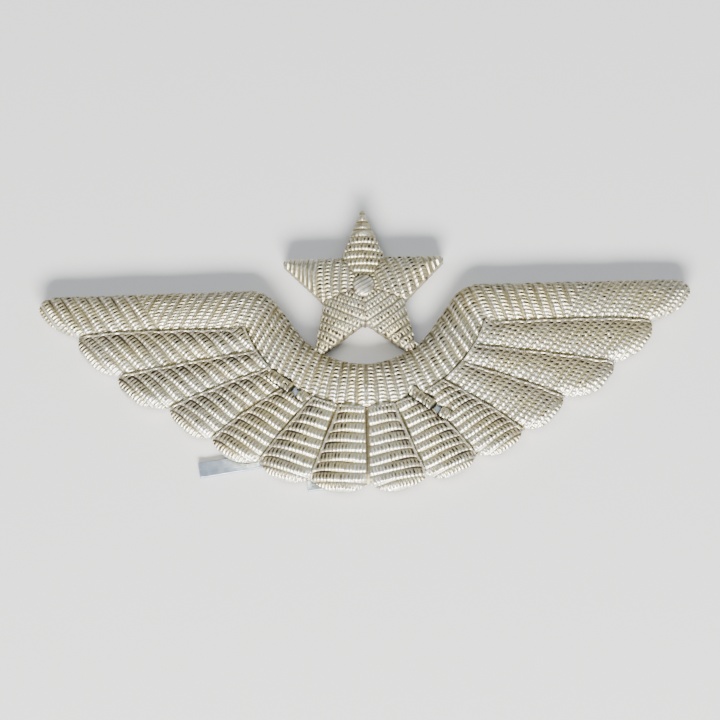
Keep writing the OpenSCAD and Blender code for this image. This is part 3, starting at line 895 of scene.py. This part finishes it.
class Nodes:
    """A short way to build one material's node tree."""

    def __init__(self, name):
        self.material = bpy.data.materials.new(name)
        self.material.use_nodes = True
        self.tree = self.material.node_tree
        self.tree.nodes.clear()
        self.shader = self.add("ShaderNodeBsdfPrincipled")
        out = self.add("ShaderNodeOutputMaterial")
        self.link(self.shader.outputs[0], out.inputs["Surface"])

    def add(self, kind, **values):
        node = self.tree.nodes.new(kind)
        for key, value in values.items():
            setattr(node, key, value)
        return node

    def link(self, a, b):
        self.tree.links.new(a, b)

    def feed(self, socket, value):
        if isinstance(value, bpy.types.NodeSocket):
            self.link(value, socket)
        else:
            socket.default_value = value

    def attribute(self, name, output="Fac"):
        return self.add("ShaderNodeAttribute", attribute_name=name).outputs[output]

    def math(self, kind, a, b=0.0, clamp=False):
        node = self.add("ShaderNodeMath", operation=kind, use_clamp=clamp)
        self.feed(node.inputs[0], a)
        self.feed(node.inputs[1], b)
        return node.outputs[0]

    def spread(self, value, lo, hi, to_lo, to_hi):
        node = self.add("ShaderNodeMapRange", interpolation_type="SMOOTHSTEP")
        for i, v in enumerate((value, lo, hi, to_lo, to_hi)):
            self.feed(node.inputs[i], v)
        return node.outputs[0]

    def noise(self, vector, scale, detail=3.0, roughness=0.55):
        node = self.add("ShaderNodeTexNoise")
        self.feed(node.inputs["Vector"], vector)
        for key, v in (("Scale", scale), ("Detail", detail), ("Roughness", roughness)):
            node.inputs[key].default_value = v
        return node.outputs["Fac"]

    def stretched(self, vector, x, y, z):
        node = self.add("ShaderNodeMapping")
        self.feed(node.inputs["Vector"], vector)
        node.inputs["Scale"].default_value = (x, y, z)
        return node.outputs[0]

    def mix(self, share, a, b):
        node = self.add("ShaderNodeMix", data_type="RGBA")
        for socket, v in zip((node.inputs["Factor"], node.inputs[6], node.inputs[7]), (share, a, b)):
            if isinstance(v, tuple):
                v = (*v, 1.0)
            self.feed(socket, v)
        return node.outputs[2]

    def bump(self, height, strength, distance):
        node = self.add("ShaderNodeBump")
        self.feed(node.inputs["Height"], height)
        node.inputs["Strength"].default_value = strength
        node.inputs["Distance"].default_value = distance
        return node.outputs[0]


GOLD = (0.56, 0.5, 0.285)
GOLD_WORN = (0.53, 0.5, 0.36)
# The pale gold is only painted highlight, the brown is tarnish and painted shade, and the near black is
# painted shade in the pits
PAINTED_HIGHLIGHT_GOLD = (0.9, 0.885, 0.8)
TARNISH_AND_SHADE_BROWN = (0.215, 0.165, 0.1)
PIT_PAINTED_SHADE = (0.034, 0.028, 0.03)
# The bare metal is grey with a blue cast painted as reflection of cool surroundings
BARE, BARE_DULL, BARE_BRIGHT = (0.47, 0.54, 0.62), (0.34, 0.41, 0.50), (0.66, 0.72, 0.78)
FLOOR_PALE = (0.80, 0.80, 0.79, 1.0)


def gilt():
    """Gilded stamped metal, with painted light: pale gold painted highlights on the crests, brown for tarnish
    and for painted shade in the grooves, and nearly black painted shade in the pits.
    """
    n = Nodes("gilt_stamped_metal")
    place = n.add("ShaderNodeTexCoord").outputs["Object"]
    # The relief attribute is the share of painted light, from painted shade to painted highlight
    relief, tarnish_and_shade = n.attribute("relief"), n.attribute("tarnish_and_shade")
    cloud = n.noise(place, 260.0, 4.0)
    grain = n.noise(place, 5200.0, 3.0, 0.6)
    speck = n.noise(place, 2100.0, 2.0, 0.5)
    base = n.mix(n.spread(cloud, 0.35, 0.68, 0.0, 1.0), GOLD, GOLD_WORN)
    # Painted highlight: pale gold where the share of painted light is high
    painted_highlight = n.math("MULTIPLY", n.spread(relief, 0.55, 1.0, 0.0, 1.0), n.spread(speck, 0.3, 0.6, 0.4, 1.0))
    base = n.mix(painted_highlight, base, PAINTED_HIGHLIGHT_GOLD)
    # Brown for tarnish and for painted shade where the share of painted light is low
    brown = n.math("ADD", n.math("MULTIPLY", tarnish_and_shade, 0.7), n.spread(relief, 0.46, 0.18, 0.0, 0.6))
    brown = n.math("MULTIPLY", brown, n.spread(grain, 0.3, 0.65, 0.7, 1.15), clamp=True)
    base = n.mix(brown, base, TARNISH_AND_SHADE_BROWN)
    # Painted shade in the pits, nearly black
    base = n.mix(n.spread(relief, 0.27, 0.08, 0.0, 0.97), base, PIT_PAINTED_SHADE)
    n.feed(n.shader.inputs["Base Color"], base)
    rough = n.math("ADD", n.spread(relief, 0.2, 0.85, 0.55, 0.34), n.math("MULTIPLY", speck, 0.12))
    n.feed(n.shader.inputs["Roughness"], rough)
    n.feed(n.shader.inputs["Metallic"], n.spread(relief, 0.05, 0.2, 0.7, 1.0))
    height = n.math("ADD", n.math("MULTIPLY", grain, 0.6), n.math("MULTIPLY", speck, 0.8))
    n.feed(n.shader.inputs["Normal"], n.bump(height, 0.35, 0.00006))
    return n.material


def aluminium():
    """Bare rolled aluminium strip with fine scratches along it and a matt film; its grey has a blue cast
    painted as reflection of cool surroundings.
    """
    n = Nodes("bare_rolled_aluminium")
    strip = n.attribute("strip", "Vector")
    fine = n.noise(n.stretched(strip, 0.5, 16.0, 4.0), 3.0, 4.0, 0.7)
    streak = n.noise(n.stretched(strip, 0.18, 5.0, 1.0), 2.0, 2.0)
    film = n.noise(strip, 1.6, 3.0)
    base = n.mix(n.spread(film, 0.35, 0.7, 0.0, 1.0), BARE, BARE_DULL)
    base = n.mix(n.spread(streak, 0.55, 0.75, 0.0, 0.6), base, BARE_BRIGHT)
    n.feed(n.shader.inputs["Base Color"], base)
    n.feed(n.shader.inputs["Metallic"], 1.0)
    n.feed(n.shader.inputs["Roughness"], n.math("ADD", n.math("MULTIPLY", fine, 0.22), 0.3))
    height = n.math("ADD", fine, n.math("MULTIPLY", streak, 0.6))
    n.feed(n.shader.inputs["Normal"], n.bump(height, 0.3, 0.00005))
    return n.material


def pale_floor():
    """A pale matt surface with hardly any grain."""
    n = Nodes("pale_floor")
    place = n.add("ShaderNodeTexCoord").outputs["Object"]
    n.feed(n.shader.inputs["Base Color"], FLOOR_PALE)
    n.feed(n.shader.inputs["Roughness"], 0.85)
    n.feed(n.shader.inputs["Normal"], n.bump(n.noise(place, 900.0, 3.0), 0.05, 0.00003))
    return n.material


# ---------------------------------------------------------------- build the pieces

GILT, ALUMINIUM = gilt(), aluminium()


def place_piece(obj, node, body, material):
    """Gives a piece its material and the body it moves with, and hides the CAD node it stands for."""
    obj.data.materials.append(material)
    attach(obj, body)
    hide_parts(node)


face = Face()
middle_x = (face.x[:-1, :-1] + face.x[1:, 1:]) / 2
on_star = face.is_star[:-1, :-1] | face.is_star[1:, 1:]
shell = [
    shell_piece("left_wing", face, (middle_x < 0) & ~on_star),
    shell_piece("right_wing", face, (middle_x > 0) & ~on_star),
    shell_piece("star", face, on_star),
]
for piece in shell + [strap("left", face), strap("right", face)]:
    place_piece(piece, "badge_shell", "badge", GILT)

for side, a, b in (("left", "left_outer", "left_lower"), ("right", "right_outer", "right_upper")):
    middle = crown(side, LEG_ROOT[a], LEG_ROOT[b])
    place_piece(middle, f"{side}_prong_crown", "badge", ALUMINIUM)
for key, root in LEG_ROOT.items():
    side, which = key.split("_")
    name = f"{side}_prong_{which}_leg"
    if key == "left_outer":
        leg = folded_leg(f"{name}_strip", root, FOLD_AT, LEG_END[key])
    else:
        leg = straight_leg(f"{name}_strip", root, LEG_END[key])
    place_piece(leg, name, f"{side}_{which}_leg", ALUMINIUM)

# ---------------------------------------------------------------- floor, light and camera

FLOOR_SIZE, FLOOR_Z = 4.0, -0.00002  # in metres; the floor is just below the badge
BADGE_AT = Vector((0, 0, 0))
SKY, SKY_POWER = (0.80, 0.86, 1.0, 1.0), 0.16


def area_light(name, place, width, height, power, colour):
    """A soft oval light at a place in metres, turned towards the badge."""
    light = bpy.data.lights.new(name, "AREA")
    light.shape = "ELLIPSE"
    light.size = width
    light.size_y = height
    light.energy = power
    light.color = colour
    obj = bpy.data.objects.new(name, light)
    bpy.context.scene.collection.objects.link(obj)
    obj.location = place
    obj.rotation_euler = (BADGE_AT - Vector(place)).to_track_quat("-Z", "Y").to_euler()


bpy.ops.mesh.primitive_plane_add(size=FLOOR_SIZE, location=(0, 0, FLOOR_Z))
floor = bpy.context.active_object
floor.name = "floor"
floor.data.materials.append(pale_floor())

world = bpy.data.worlds.new("studio")
bpy.context.scene.world = world
world.use_nodes = True
world.node_tree.nodes["Background"].inputs[0].default_value = SKY
world.node_tree.nodes["Background"].inputs[1].default_value = SKY_POWER
area_light("key", (0.0, -0.45, 0.25), 0.42, 0.14, 11.5, (1.0, 0.99, 0.96))
area_light("fill", (0.35, 0.30, 0.45), 0.5, 0.5, 1.5, (0.85, 0.92, 1.0))
area_light("top", (-0.25, 0.10, 0.55), 0.4, 0.4, 1.4, (1.0, 1.0, 1.0))

# The camera looks steeply down on the badge, from the side of its lower edge
AIM = Vector((-0.0006, -0.0009, 0.0012))
AZIMUTH, ELEVATION, ROLL = math.radians(-85.8), math.radians(73.5), math.radians(-5.7)
DISTANCE, LENS, SENSOR = 0.42, 196.1, 36.0
camera = bpy.data.cameras.new("camera")
camera.lens = LENS
camera.sensor_width = SENSOR
camera.clip_start = 0.01
view = bpy.data.objects.new("camera", camera)
bpy.context.scene.collection.objects.link(view)
direction = Vector((
    math.cos(ELEVATION) * math.cos(AZIMUTH),
    math.cos(ELEVATION) * math.sin(AZIMUTH),
    math.sin(ELEVATION),
))
view.matrix_world = (
    Matrix.Translation(AIM + direction * DISTANCE)
    @ (-direction).to_track_quat("-Z", "Y").to_matrix().to_4x4()
    @ Matrix.Rotation(ROLL, 4, "Z")
)
bpy.context.scene.camera = view
